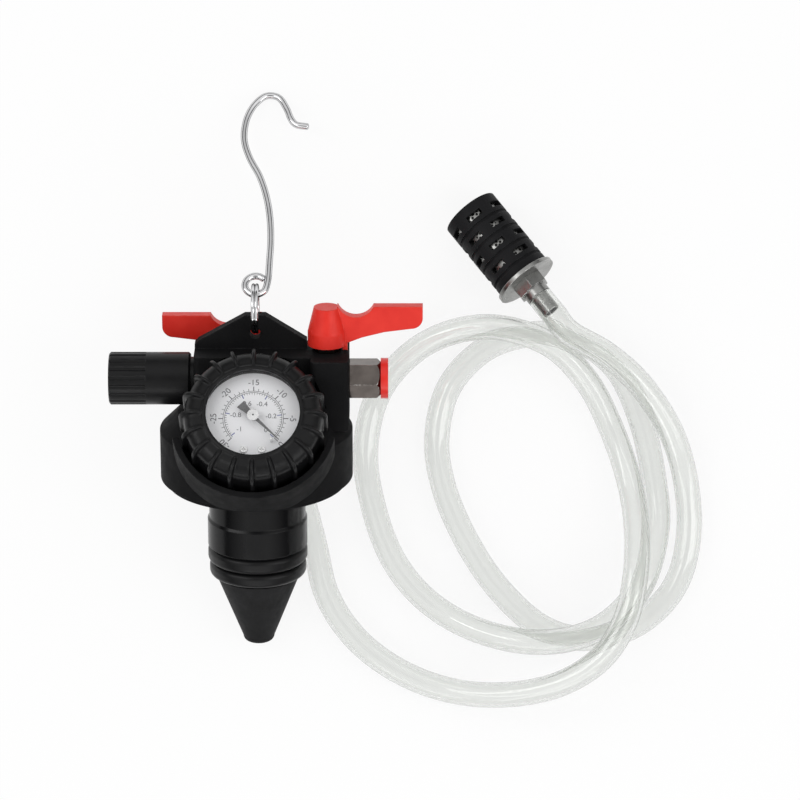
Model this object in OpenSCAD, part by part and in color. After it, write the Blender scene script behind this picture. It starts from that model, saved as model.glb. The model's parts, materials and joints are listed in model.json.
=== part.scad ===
// Coolant refill tool: a vacuum gauge, two quarter-turn valves and a venturi in one moulded housing,
// with a rubber filler cone, a hanging hook and a clear hose that ends in a strainer.
// It lies on its back, on the flat behind the lower housing and on the neck seal. Millimetres.

/* [Lower housing] */
// Radius of the round lower housing
disc_r = 47; // [46:0.5:49]
// Height of its straight side
disc_h = 24; // [20:0.5:28]
// Height and depth of its top chamfer
disc_chamfer = 9; // [5:0.5:11]
// Radius of the lip under it
lip_r = 44; // [41:0.5:45]
// Height of that lip
lip_h = 3; // [1:0.5:4]
// Distance of the resting flat behind the tool's axis, at the height of the underside
back_reach = 42; // [41:0.1:43.5]

/* [Valve block] */
// Height of the air passage above the underside
air_z = 49.4; // [48:0.2:51]
// Distance from the axis to the block's left side
block_left = 29.5; // [28:0.5:32]
// Distance from the axis to the block's right side
block_right = 45.5; // [44.5:0.5:48]
// Distance from the axis to the block's front
block_front = 12; // [11:0.5:14]
// Distance from the axis to the front of the block's right end
block_end_front = 19; // [17:0.5:21]
// Distance from the axis to the block's back
block_back = 14; // [12:0.5:15]
// Height of the block's top above the air passage
block_rise = 14.6; // [14:0.2:17]
// Radius of the block's corners
block_round = 2.5; // [1:0.5:4]
// Radius of the air passage
passage_r = 5; // [4:0.25:6]

/* [Hanger plate] */
// Thickness of the plate
plate_t = 6; // [5:0.25:7]
// Distance from the axis back to the plate's front
plate_front = 2; // [0:0.5:4]
// Height of the plate's shoulders above the underside
plate_shoulder = 68; // [66:0.5:72]
// Height of the plate's top above the underside
plate_top = 80.7; // [78:0.1:84]
// Half width of the plate's level top
plate_tip = 5; // [3:0.5:7]
// Diameter of the ring's hole
ring_hole_d = 5.2; // [5:0.1:6]
// Depth of the hole below the plate's top
ring_hole_drop = 9; // [7:0.25:10]

/* [Neck and cone] */
// Outer radius of the neck sleeve
neck_r = 24.5; // [23:0.25:25]
// Length of the neck sleeve below the lip
neck_len = 34; // [30:0.5:38]
// Outer radius of the upper rib of the neck seal
rib_r = 24.5; // [23:0.25:25]
// Length of the neck seal
seal_len = 16; // [12:0.5:18]
// Radius of the cone at its base
cone_r = 20.5; // [19:0.25:21]
// Radius of the cone at its tip
cone_tip_r = 7.75; // [7.25:0.25:9]
// Length of the cone
cone_len = 35.5; // [32:0.5:37]
// Radius of the cone's rounded end
cone_round = 3; // [2:0.25:4]
// Outer radius of the stem inside the cone
cone_stem_r = 6; // [5.5:0.25:6.5]
// Radius of the passage through the stem
cone_bore_r = 3.5; // [2.5:0.25:4]

/* [Gauge] */
// Distance from the tool's axis to the dial's centre
dial_reach = 38; // [37:0.5:40]
// Height of the dial's centre above the underside
dial_z = 42.5; // [41.5:0.25:44]
// Tilt of the dial towards the hook
gauge_tilt = 45; // [43:0.5:47]
// Radius of the gauge case
case_r = 26; // [25:0.25:27]
// Wall of the gauge case
case_wall = 2; // [1.5:0.25:2.5]
// Depth of the case behind the dial's face
case_depth = 12; // [11.5:0.25:12.5]
// Radius of the boot's opening round the lens
boot_open_r = 22.4; // [21.4:0.2:23]
// Radius of the boot between its ribs
boot_r = 33.2; // [32:0.2:34]
// Height of the boot's ribs
boot_rib_h = 2.4; // [1.2:0.2:2.8]
// Thickness of the boot's ribs
boot_rib_t = 1.9; // [1:0.1:3]
// Number of ribs round the boot
boot_ribs = 20; // [12:1:24]
// Length of the needle's point
needle_len = 17.5; // [14:0.5:19]
// Wall of the cradle that holds the lower half of the boot
cradle_wall = 3; // [2.5:0.25:4]
// Distance of the cradle's rim behind the dial's face
cradle_rim = 4.3; // [3:0.1:6]
// Distance below the dial's centre at which the cradle's sides end
cradle_side = 8; // [6:0.5:14]

/* [Valves] */
// Distance from the tool's axis to the air valve
air_x = 34.6; // [34:0.1:35.4]
// Distance from the tool's axis back to the coolant valve
coolant_y = 28; // [27.5:0.5:30]
// How far the coolant valve lies below the air valve
coolant_drop = 14; // [13:0.5:15.5]
// Outer radius of the coolant valve's barrel
barrel_r = 12; // [11:0.25:13]
// Distance from the tool's axis back to the barrel's end
barrel_reach = 43; // [42:0.5:45]
// Diameter of the valve balls
ball_d = 11; // [10:0.25:11.5]
// Bore through the valve balls
ball_bore_d = 6; // [5:0.25:6.5]
// Diameter of the pocket that holds a ball and its seats
pocket_d = 15; // [14.5:0.25:16]
// Diameter of the valve stems
stem_d = 6; // [5:0.25:6.5]
// Radius of a lever's hub at its foot
hub_r = 9.2; // [8.5:0.1:9.8]
// Radius of a lever's hub at its top
hub_top_r = 6.2; // [5:0.1:7.5]
// Height of a lever's hub
hub_h = 19; // [17:0.2:20]
// Reach of a lever from its axis
lever_reach = 46.5; // [42:0.5:50]
// Thickness of a lever's paddle
lever_t = 5.6; // [4:0.2:7]

/* [Silencer and inlet] */
// Radius of the silencer
silencer_r = 12.8; // [12:0.2:13.4]
// Length of the silencer beyond its neck
silencer_len = 39.5; // [36:0.5:44]
// Number of flutes round the silencer
silencer_flutes = 18; // [12:1:24]
// Length of the flutes
flute_len = 18; // [14:0.5:22]
// Width across the inlet's flats
inlet_flats = 17; // [16.5:0.25:19]
// Length of the inlet's hexagon
inlet_len = 15.25; // [13:0.25:18]
// Diameter of the inlet's threaded bore
inlet_bore_d = 11.8; // [11.2:0.1:12.2]
// Diameter of the recess in the inlet's end that takes the dust cap
cap_seat_d = 13; // [12.6:0.1:13.6]
// Depth of that recess
cap_seat_depth = 3.2; // [2.5:0.1:4]
// Radius of the dust cap's rim
cap_r = 9.9; // [9:0.1:11]
// Thickness of the dust cap's rim
cap_t = 3.6; // [2.5:0.1:5]

/* [Ring and hook] */
// Outside diameter of the split ring
ring_d = 24.3; // [23:0.1:25.5]
// Thickness of the ring's wire
ring_wire_d = 1.8; // [1.6:0.1:1.9]
// Diameter of the hook's wire
hook_wire_d = 3.3; // [3:0.1:3.6]
// Inside radius of the hook's eye
eye_r = 3.6; // [3.4:0.1:4]

/* [Hose and strainer] */
// Outside diameter of the hose
hose_d = 12.7; // [12:0.1:12.8]
// Bore of the hose
hose_bore_d = 9.5; // [9.4:0.1:10]
// Radius of the strainer's cage
cage_r = 14.5; // [13.5:0.25:15]
// Length of the cage
cage_len = 44; // [41:0.5:47]
// Wall of the cage
cage_wall = 2.2; // [1.6:0.1:3]
// Radius of the strainer's flange
flange_r = 16; // [15.5:0.25:17]
// Thickness of the flange
flange_t = 2; // [1.5:0.25:3]
// Width across the strainer fitting's flats
fitting_flats = 15; // [14:0.25:17]
// Slope of the strainer, which leans on the hose that carries its end
strainer_lean = 16; // [12:0.5:20]

/* [Fits] */
// Clearance of a piece that turns or slides in a bore
run_gap = 0.06; // [0.03:0.01:0.1]
// Clearance of a piece that is fixed in a bore
seat_gap = 0.05; // [0.02:0.01:0.1]
// Clearance between pieces that move past each other
free_gap = 0.4; // [0.3:0.05:0.6]

/* [Hidden] */
$fn = 64;

black = "#1b1b1d";
rubber = "#151517";
red = "#d8241c";
nickel = "#c9c7c0";
chrome = "#d4d6d8";
brass = "#b8974f";
overlap = 0.5;

// Neck seal: its two ribs
rib_gap = 0.4;
rib_foot = 1;
rib_step = 0.7;
rib_round = 2.5;

// Lying pose: the resting plane touches the lower housing's back and the neck seal's lower rib
neck_end = lip_h + neck_len;
seal_end = neck_end + seal_len;
cone_end = seal_end + cone_len;
rest_a = back_reach - rib_r + rib_step + rib_round;
rest_b = rib_foot + rib_round - seal_end;
lean = atan2(rest_b, rest_a) + acos(rib_round / norm([rest_a, rest_b]));
rest_h = back_reach * cos(lean);
flat_mid = 7;
flat_y = back_reach * sin(lean) + flat_mid;

// Heights and places in the tool's own frame: x right, y back, z along the axis towards the hook
block_top = air_z + block_rise;
coolant_z = air_z - coolant_drop;
ring_hole_z = plate_top - ring_hole_drop;
plate_mid = plate_front + plate_t / 2;
disc_top = disc_h + disc_chamfer;
plate_right = air_x - hub_r - free_gap;

// Valve: sizes from the ball's centre along the stem
seat_in = ball_d / 2 * 0.6;
seat_out = ball_d / 2 + 1;
pocket_end = seat_out + 0.1;
bonnet_r = 5;
bonnet_floor = pocket_d / 2 + 0.6;
seal_t = 1.5;
gland_flats = 12;
gland_h = 2.6;
hub_z = block_rise + gland_h + free_gap;
stem_top = hub_z + hub_h - 3;
tang_t = 2.4;
tang_z = ball_d / 2 - 2;

// Gauge: distances in front of the dial's face, which are negative behind it
dial_t = 1.2;
dial_ledge = 1.6;
lens_z = 5.2;
lens_t = 1.4;
case_front = lens_z + lens_t + 0.2;
boot_front = case_front + 1.8;
boot_face = boot_front - 0.8;
boot_slope = 4;
boot_shoulder = boot_face - boot_slope;
boot_back = -case_depth - 2;
boot_lip_r = 19;
boot_fit = 0.15;
lens_rebate = 0.8;
needle_z = 3;
needle_t = 0.5;
needle_hub_r = 2.4;
needle_hub_h = 1.1;
needle_half_w = 0.9;
spindle_r = 0.8;
spindle_head_r = 2.9;
spindle_head_h = 0.5;
needle_rest = -45;
screw_x = 4.3;
screw_drop = 16.4;
screw_r = 0.8;
screw_head_r = 2.1;
stop_angle = -54;
stop_r = 15;
boot_room = 1;
gauge_hex = 14;
gauge_stem_r = 5;
gauge_port_len = 9;
movement_z = -3.6;
movement_t = 1.4;
stem_inner_z = movement_z - 1.6;
bourdon_w = 3.6;
bourdon_z = stem_inner_z - bourdon_w / 2 - 0.1;
pocket_z = boot_back - boot_room;
boot_space = boot_r + boot_rib_h + boot_room;
cradle_r = boot_space + cradle_wall;
cradle_foot = pocket_z - gauge_port_len;
facet_z = pocket_z - 2.5;

// Neck
neck_socket = 10;
neck_wall = 4;
sleeve_wall = 8;

// Silencer and inlet
silencer_neck_len = 2;
silencer_neck_r = 10.5;
silencer_spigot_r = 8;
silencer_spigot_len = 9;
silencer_wall = 2.4;
cap_stub_len = cap_seat_depth - 0.2;
cap_stub_wall = 1.6;

// Ring and hook: the ring turns through the plate's hole, and the hook's eye is on its far side
ring_r = (ring_d - ring_wire_d) / 2;
ring_rise = ring_hole_d / 2 - ring_wire_d / 2 - 2 * free_gap - plate_t * plate_t / 8 / ring_r;
ring_y = plate_mid;
ring_z = ring_hole_z + ring_rise + ring_r;
ring_world = [
  0,
  ring_y * sin(lean) + ring_z * cos(lean) - flat_y,
  rest_h - ring_y * cos(lean) + ring_z * sin(lean)
];
eye_mid = eye_r + hook_wire_d / 2;
eye_out = ring_r + eye_r - ring_wire_d / 2 - 2 * free_gap;
hook_len = 111;
hook_slope = asin((ring_world[2] - hook_wire_d / 2) / (eye_out + hook_len));

// Hook's centre line from the eye: across, and along from the eye's centre
eye_turn = [for (a = [66:30:336]) eye_mid * [cos(a), sin(a)]];
hook_path = [
  [6, 4], [6.5, 14.5], [6.9, 25], [6.4, 37.5], [4.6, 50], [1, 62.5], [-4.4, 74], [-7.2, 84.5], [-6.6, 95],
  [-3.6, 103.5], [1, 109.3], [5.2, hook_len], [10, 109.3], [13.6, 103], [15.8, 97], [18.6, 93.5], [24, 92.5]
];

// Hose: its centre line on the table, each point with its height above a hose that lies flat
hose_r = hose_d / 2;
hose_lie = hose_r + 0.4;
barb_start = [16, 7.4];
barb_aim = [0.26, -0.9656];
hose_path = [
  [27, -34, 0], [34, -62, 0], [49, -84, 0], [71, -100, 0.4], [97, -109, 4.4], [124, -110, 13.4],
  [149, -104, 23.4], [169, -91, 27.6], [181, -72, 28], [186, -50, 25.6], [187, -28, 17.6], [184, -5, 6.6],
  [176, 20, 1], [163, 45, 5.6], [143, 64, 13.4], [113, 72, 14.2], [83, 64, 4.4], [61, 42, 0.1], [53, 12, 0],
  [57, -18, 0], [68, -46, 0.1], [87, -67, 1], [113, -80, 7.6], [142, -84, 14], [169, -77, 14], [189, -57, 12],
  [198, -28, 3.6], [196, 0, 0.2], [190, 26, 0], [179, 50, 0], [162, 64, 0], [140, 69, 0], [114, 62, 0],
  [95, 43, 0], [88.5, 17, 0], [92, -8, 0], [103, -34, 0], [119, -58, 0], [140, -77, 0], [162, -83, 0],
  [188, -76, 0], [207, -57, 0], [214, -31, 0.2], [212, -3, 2], [204, 21, 9.6], [189, 43, 19.6],
  [172, 58, 26.4]
];
hose_rings = 78;
hose_sides = 10;
barb_collar = 3;
barb_len = 16;
nipple_r = hose_bore_d / 2 * cos(180 / hose_sides) - 0.15;

// Strainer: its end rim rests on the table, and its axis slopes up towards the hose
strainer_foot = [105.2, 128.8];
strainer_aim = [0.6249, -0.7807];
cage_end = [strainer_foot[0], strainer_foot[1], cage_r * cos(strainer_lean)];
strainer_axis = [
  strainer_aim[0] * cos(strainer_lean),
  strainer_aim[1] * cos(strainer_lean),
  sin(strainer_lean)
];
fitting_len = 10;
nipple_len = 10;
hose_stop = cage_len + flange_t + fitting_len;
hose_last = cage_end + hose_stop * strainer_axis;
slot_rows = 4;
slot_count = 6;
groove_w = 1.6;
mesh_wall = 0.8;

// Smooth curves and swept tubes

function unit(v) = v / norm(v);

function spline(p, i, t) =
  let (a = p[max(i - 1, 0)], b = p[i], c = p[i + 1], d = p[min(i + 2, len(p) - 1)])
  0.5 * (2 * b + (c - a) * t + (2 * a - 5 * b + 4 * c - d) * t * t + (3 * b - a - 3 * c + d) * t * t * t);

function curve(p, count) = [
  for (k = [0:count - 1])
    let (s = k * (len(p) - 1) / (count - 1), i = min(floor(s), len(p) - 2))
    spline(p, i, s - i)
];

function heading(q, i) = unit(q[min(i + 1, len(q) - 1)] - q[max(i - 1, 0)]);

function rings(q, r, sides, up) = [
  for (i = [0:len(q) - 1])
    let (t = heading(q, i), across = unit(cross(t, up)), over = cross(across, t))
    for (k = [0:sides - 1])
      let (a = 360 * (k + 0.5) / sides)
      q[i] + r * (cos(a) * across + sin(a) * over)
];

function skin(count, sides, first, inward) = [
  for (i = [0:count - 2])
    for (k = [0:sides - 1])
      let (
        a = first + i * sides + k,
        b = first + i * sides + (k + 1) % sides,
        c = a + sides,
        d = b + sides
      )
      each (inward ? [[a, b, d], [a, d, c]] : [[a, d, b], [a, c, d]])
];

module rod(q, r, sides, up) {
  last = (len(q) - 1) * sides;
  start_cap = [[for (k = [0:sides - 1]) k]];
  end_cap = [[for (k = [sides - 1:-1:0]) last + k]];
  polyhedron(rings(q, r, sides, up), concat(skin(len(q), sides, 0, false), start_cap, end_cap));
}

module pipe(q, r, bore, sides, up) {
  inner = len(q) * sides;
  last = (len(q) - 1) * sides;
  start_cap = [
    for (k = [0:sides - 1])
      let (n = (k + 1) % sides)
      each [[k, n, inner + n], [k, inner + n, inner + k]]
  ];
  end_cap = [
    for (k = [0:sides - 1])
      let (n = (k + 1) % sides)
      each [[last + k, inner + last + n, last + n], [last + k, inner + last + k, inner + last + n]]
  ];
  faces = concat(skin(len(q), sides, 0, false), skin(len(q), sides, inner, true), start_cap, end_cap);
  polyhedron(concat(rings(q, r, sides, up), rings(q, bore, sides, up)), faces);
}

// Hose's centre line, and its least gap to itself
hose_points = concat(
  [[barb_start[0], barb_start[1], hose_lie]],
  [for (p = hose_path) [p[0], p[1], hose_lie + p[2]]],
  [for (k = [2, 1, 0]) hose_last + k * (nipple_len + 2) * strainer_axis]
);
hose_line = curve(hose_points, hose_rings);
hose_fine = [
  for (i = [0:hose_rings - 2])
    for (k = [0:3])
      hose_line[i] + (hose_line[i + 1] - hose_line[i]) * k / 4
];
hose_least = min([
  for (i = [0:len(hose_fine) - 1])
    for (j = [i + 24:1:len(hose_fine) - 1])
      norm(hose_fine[i] - hose_fine[j])
]);
echo(hose_gap = hose_least - hose_d);

// Frames of the parts

module lying() translate([0, -flat_y, rest_h]) rotate([lean - 90, 0, 0]) children();

module on_table() translate([0, -flat_y, 0]) children();

module along_x() rotate([0, 90, 0]) children();

module along_y() rotate([-90, 0, 0]) children();

module gauge_place() translate([0, -dial_reach, dial_z]) rotate([90 - gauge_tilt, 0, 0]) children();

module gauge_frame() lying() gauge_place() children();

module air_valve() lying() translate([air_x, 0, air_z]) children();

module coolant_valve() lying() translate([0, coolant_y, coolant_z]) rotate([0, 0, 180]) children();

module ring_frame() translate(ring_world) rotate([-hook_slope, 0, 0]) children();

module barb_frame() {
  on_table() translate([barb_start[0], barb_start[1], hose_lie])
    rotate([0, 0, atan2(barb_aim[1], barb_aim[0])])
      along_x()
        children();
}

module strainer_frame() {
  on_table() translate(cage_end)
    rotate([0, 0, atan2(strainer_aim[1], strainer_aim[0])])
      rotate([0, 90 - strainer_lean, 0])
        children();
}

// Shared shapes

module tube(r, bore, h) {
  difference() {
    cylinder(r = r, h = h);
    translate([0, 0, -1]) cylinder(r = bore, h = h + 2);
  }
}

module hexagon(flats, h) cylinder(d = flats / cos(30), h = h, $fn = 6);

module round_rect(x0, x1, y0, y1, r) {
  translate([x0 + r, y0]) square([x1 - x0 - 2 * r, y1 - y0]);
  translate([x0, y0 + r]) square([x1 - x0, y1 - y0 - 2 * r]);
  for (x = [x0 + r, x1 - r])
    for (y = [y0 + r, y1 - r])
      translate([x, y]) circle(r);
}

// Valve pieces, drawn from the ball's centre with the lever along x and the stem along z

module valve_lever() {
  valley = [14.2, hub_h + 5];
  valley_r = 9.5;
  corner_r = 5.4;
  paddle_top = hub_h + 0.9;
  paddle_foot = paddle_top - 2 * corner_r - 0.4;
  translate([0, 0, hub_z]) difference() {
    union() {
      cylinder(r = hub_r, h = hub_h * 0.36);
      translate([0, 0, hub_h * 0.36]) cylinder(r1 = hub_r, r2 = hub_top_r, h = hub_h * 0.64);
      rotate([90, 0, 0]) translate([0, 0, -lever_t / 2]) linear_extrude(lever_t) difference() {
        union() {
          polygon([
            [0, 1], [hub_r + 1.6, 1.8], [hub_r + 8, 4.3], [lever_reach * 0.6, paddle_foot - 1.7],
            [lever_reach - corner_r, paddle_foot], [lever_reach, paddle_foot + corner_r],
            [lever_reach, paddle_top], [0, paddle_top]
          ]);
          translate([lever_reach - corner_r, paddle_foot + corner_r]) circle(corner_r);
        }
        translate(valley) circle(valley_r);
        translate([-1, hub_h - 1]) square([hub_top_r, 3]);
      }
      translate([gland_flats / 2 + 1.7, -2.4, -2.2]) cube([2.4, 4.8, 5]);
    }
    translate([0, 0, -1]) cylinder(d = stem_d + 2 * seat_gap, h = stem_top - hub_z + 1.2);
  }
}

module valve_stem() {
  translate([0, 0, ball_d / 2 + 0.2]) cylinder(d = stem_d, h = stem_top - ball_d / 2 - 0.2);
  intersection() {
    translate([0, 0, tang_z]) cylinder(d = stem_d, h = ball_d / 2 - tang_z + overlap);
    translate([-stem_d, -tang_t / 2, tang_z]) cube([2 * stem_d, tang_t, ball_d]);
  }
}

module valve_ball() {
  slot_t = tang_t + 2 * seat_gap;
  difference() {
    sphere(d = ball_d);
    along_x() translate([0, 0, -ball_d]) cylinder(d = ball_bore_d, h = 2 * ball_d);
    translate([-ball_d, -slot_t / 2, tang_z - seat_gap]) cube([2 * ball_d, slot_t, ball_d]);
  }
}

module valve_seats() {
  for (side = [0, 180])
    rotate([0, side, 0]) along_x() difference() {
      translate([0, 0, seat_in]) tube(pocket_d / 2 - seat_gap, ball_bore_d / 2, seat_out - seat_in);
      sphere(d = ball_d + 2 * run_gap);
    }
}

module valve_gland() {
  floor_z = bonnet_floor + seal_t + 2 * seat_gap;
  difference() {
    union() {
      translate([0, 0, floor_z]) cylinder(r = bonnet_r - seat_gap, h = block_rise - floor_z + overlap);
      translate([0, 0, block_rise]) hexagon(gland_flats, gland_h);
    }
    translate([0, 0, floor_z - 1]) cylinder(d = stem_d + 2 * run_gap, h = block_rise);
  }
}

module valve_seal() {
  translate([0, 0, bonnet_floor + seat_gap]) tube(bonnet_r - seat_gap, stem_d / 2 + run_gap, seal_t);
}

module valve_stem_bores() {
  cylinder(d = stem_d + 2 * run_gap, h = block_rise + 1);
  translate([0, 0, bonnet_floor]) cylinder(r = bonnet_r, h = block_rise);
}

// Housing

module lower_housing() {
  difference() {
    rotate_extrude() polygon([
      [0, -lip_h], [lip_r, -lip_h], [lip_r, 0], [disc_r, 0], [disc_r, disc_h],
      [disc_r - disc_chamfer, disc_top], [0, disc_top]
    ]);
    gauge_place() translate([-disc_r, -2 * disc_r, facet_z]) cube([2 * disc_r, 3 * disc_r, disc_r]);
  }
}

module gauge_cradle() {
  intersection() {
    gauge_place() difference() {
      translate([0, 0, cradle_foot]) cylinder(r = cradle_r, h = -cradle_rim - cradle_foot);
      translate([-disc_r, -cradle_side, -disc_r]) cube(2 * disc_r);
    }
    cylinder(r = 2 * disc_r, h = block_top);
  }
}

module upper_block() {
  foot = disc_top - 4;
  translate([0, 0, foot]) linear_extrude(block_top - foot) {
    round_rect(-block_left, block_right, -block_front, block_back, block_round);
    round_rect(air_x - pocket_d / 2, block_right, -block_end_front, block_back, block_round);
  }
}

module hanger_plate() {
  foot = disc_top;
  translate([0, plate_front + plate_t, 0]) rotate([90, 0, 0]) linear_extrude(plate_t) difference() {
    polygon([
      [-block_left, foot], [-block_left, plate_shoulder - 2], [-block_left + 2, plate_shoulder],
      [-plate_tip, plate_top], [plate_tip, plate_top], [plate_right, plate_shoulder], [plate_right, foot]
    ]);
    translate([0, ring_hole_z]) circle(d = ring_hole_d);
  }
}

module below_table() translate([-disc_r, -2 * disc_r, -disc_r]) cube([2 * disc_r, 4 * disc_r, disc_r]);

module coolant_barrel() {
  translate([0, 0, coolant_z]) along_y() cylinder(r = barrel_r, h = barrel_reach);
  translate([0, coolant_y, coolant_z]) cylinder(r = hub_r, h = block_rise);
}

module passages() {
  reach = silencer_spigot_len;
  translate([-block_left - 1, 0, air_z]) along_x() cylinder(r = passage_r, h = block_left + air_x);
  translate([-block_left - 1, 0, air_z]) along_x() cylinder(r = silencer_spigot_r, h = reach + 1);
  translate([air_x - pocket_end, 0, air_z]) along_x() cylinder(d = pocket_d, h = block_right);
  translate([0, coolant_y - pocket_end, coolant_z]) along_y() cylinder(d = pocket_d, h = barrel_reach);
  translate([0, 0, -lip_h - 1]) cylinder(r = cone_bore_r, h = air_z + lip_h + 1);
  translate([0, 0, coolant_z]) along_y() cylinder(r = cone_bore_r, h = coolant_y);
  gauge_place() translate([0, 0, cradle_foot]) cylinder(r = gauge_stem_r, h = gauge_port_len + 1);
  gauge_place() translate([0, 0, -dial_reach / cos(gauge_tilt)])
    cylinder(r = cone_bore_r / 2, h = dial_reach / cos(gauge_tilt) + pocket_z);
  translate([air_x, 0, air_z]) valve_stem_bores();
  translate([0, coolant_y, coolant_z]) valve_stem_bores();
  translate([0, 0, -lip_h - 1]) cylinder(r = neck_r - neck_wall, h = neck_socket + 1);
}

module body_housing() {
  color(black) difference() {
    lying() difference() {
      union() {
        lower_housing();
        gauge_cradle();
        upper_block();
        hanger_plate();
        coolant_barrel();
      }
      passages();
      gauge_place() translate([0, 0, pocket_z]) cylinder(r = boot_space, h = disc_r);
    }
    below_table();
    barb_frame() translate([0, 0, -barb_len]) cylinder(r = nipple_r + seat_gap, h = 2 * barb_len);
    barb_frame() translate([0, 0, -barb_collar]) cylinder(r = hose_r + free_gap, h = barb_len);
  }
}

// Neck and cone

module neck_sleeve() {
  color(black) lying() difference() {
    union() {
      translate([0, 0, -neck_end]) rotate_extrude() polygon([
        [0, 0], [neck_r - 1, 0], [neck_r, 1], [neck_r, neck_len * 0.42], [neck_r - 0.8, neck_len * 0.46],
        [neck_r - 0.8, neck_len], [0, neck_len]
      ]);
      translate([0, 0, -lip_h - overlap])
        cylinder(r = neck_r - neck_wall - seat_gap, h = neck_socket + overlap);
    }
    translate([0, 0, -neck_end - 1]) cylinder(r = neck_r - sleeve_wall, h = neck_len - 6);
    translate([0, 0, -neck_end]) cylinder(r = cone_bore_r, h = neck_end + neck_socket);
  }
}

module cone_stem() {
  head_r = neck_r - sleeve_wall - seat_gap;
  foot = cone_len * 0.62;
  color(brass) lying() difference() {
    union() {
      translate([0, 0, -neck_end]) cylinder(r = head_r, h = neck_len - 7);
      translate([0, 0, -seal_end - foot]) cylinder(r = cone_stem_r, h = seal_len + foot + overlap);
    }
    translate([0, 0, -cone_end]) cylinder(r = cone_bore_r, h = cone_end);
  }
}

module neck_seal() {
  rib = seal_len / 2;
  color(rubber) lying() translate([0, 0, -seal_end]) difference() {
    rotate_extrude() difference() {
      union() {
        square([cone_r - 0.5, seal_len]);
        translate([0, rib + rib_gap]) round_rect(-rib, rib_r, 0, rib - rib_gap, rib_round);
        translate([0, rib_foot]) round_rect(-rib, rib_r - rib_step, 0, rib - rib_foot, rib_round);
      }
      translate([-2 * rib_r, -1]) square([2 * rib_r, seal_len + 2]);
    }
    translate([0, 0, -1]) cylinder(r = cone_stem_r + seat_gap, h = seal_len + 2);
  }
}

module rubber_cone() {
  color(rubber) lying() translate([0, 0, -cone_end]) difference() {
    rotate_extrude() {
      polygon([[0, cone_round], [cone_tip_r, cone_round], [cone_r, cone_len], [0, cone_len]]);
      square([cone_tip_r - cone_round, cone_len]);
      intersection() {
        translate([cone_tip_r - cone_round, cone_round]) circle(cone_round);
        square([cone_tip_r, cone_round]);
      }
    }
    translate([0, 0, cone_len * 0.38]) cylinder(r = cone_stem_r + seat_gap, h = cone_len);
    translate([0, 0, -1]) cylinder(r = cone_bore_r, h = cone_len);
  }
}

// Gauge

module gauge_case() {
  color(black) gauge_frame() difference() {
    translate([0, 0, -case_depth]) cylinder(r = case_r, h = case_depth + case_front);
    translate([0, 0, -case_depth + case_wall]) cylinder(r = case_r - case_wall - dial_ledge, h = case_depth);
    translate([0, 0, -dial_t]) cylinder(r = case_r - case_wall, h = case_depth);
    translate([0, 0, lens_z]) cylinder(r = case_r - case_wall + lens_rebate, h = case_depth);
    translate([0, 0, -case_depth - 1]) cylinder(r = gauge_stem_r, h = case_wall + 2);
  }
}

module boot_profile() {
  polygon([
    [boot_open_r, case_front + boot_fit], [boot_open_r, boot_front], [boot_open_r + 2, boot_front],
    [boot_open_r + 2.8, boot_face], [boot_r - boot_slope, boot_face], [boot_r, boot_shoulder],
    [boot_r, boot_back], [boot_lip_r, boot_back], [boot_lip_r, -case_depth - boot_fit],
    [case_r + boot_fit, -case_depth - boot_fit], [case_r + boot_fit, case_front + boot_fit]
  ]);
}

module boot_rib() {
  root = 0.6;
  top = boot_rib_h;
  start = boot_open_r + 4.2;
  polygon([
    [start, boot_face - root], [start, boot_face + 0.5 * top],
    [boot_r - boot_slope + 0.5 * top, boot_face + 0.5 * top], [boot_r + top, boot_shoulder],
    [boot_r + top, boot_back + root], [boot_r - root, boot_back + root], [boot_r - root, boot_shoulder],
    [boot_r - boot_slope, boot_face - root]
  ]);
}

module gauge_boot() {
  color(rubber) gauge_frame() {
    rotate([0, 0, 180 / boot_ribs]) rotate_extrude() boot_profile();
    for (i = [0:boot_ribs - 1])
      rotate([0, 0, 360 * i / boot_ribs + 90])
        rotate([90, 0, 0])
          translate([0, 0, -boot_rib_t / 2])
            linear_extrude(boot_rib_t) boot_rib();
  }
}

module gauge_dial() {
  color("white") gauge_frame() difference() {
    translate([0, 0, -dial_t]) cylinder(r = case_r - case_wall - seat_gap, h = dial_t);
    translate([0, 0, -dial_t - 1]) cylinder(r = spindle_r + 0.4, h = dial_t + 2);
    for (x = [-screw_x, screw_x])
      translate([x, -screw_drop, -dial_t - 1]) cylinder(r = screw_r + 0.1, h = dial_t + 2);
  }
}

module gauge_lens() {
  color("#dfe9ee", 0.25) gauge_frame() translate([0, 0, lens_z])
    cylinder(r = case_r - case_wall + lens_rebate - seat_gap, h = lens_t);
}

module gauge_stem() {
  foot = pocket_z - gauge_port_len;
  color(brass) gauge_frame() difference() {
    union() {
      translate([0, 0, pocket_z]) hexagon(gauge_hex, -case_depth - pocket_z);
      translate([0, 0, foot]) cylinder(r = gauge_stem_r - seat_gap, h = stem_inner_z - foot);
    }
    translate([0, 0, foot - 1]) cylinder(r = cone_bore_r / 2, h = stem_inner_z - foot - 1);
  }
}

module bourdon_tube() {
  bend_r = 15;
  tube_t = 1.6;
  leg_x = gauge_stem_r + 0.25;
  color(brass) gauge_frame() translate([0, 0, bourdon_z]) {
    difference() {
      rotate_extrude() translate([bend_r, 0]) square([tube_t, bourdon_w], center = true);
      translate([-2 * bend_r, -2 * bend_r, -bourdon_w]) cube([2 * bend_r + leg_x, 2 * bend_r, 2 * bourdon_w]);
    }
    translate([leg_x, -bend_r - tube_t / 2, -bourdon_w / 2]) cube([tube_t, bend_r + tube_t / 2, bourdon_w]);
  }
}

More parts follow.
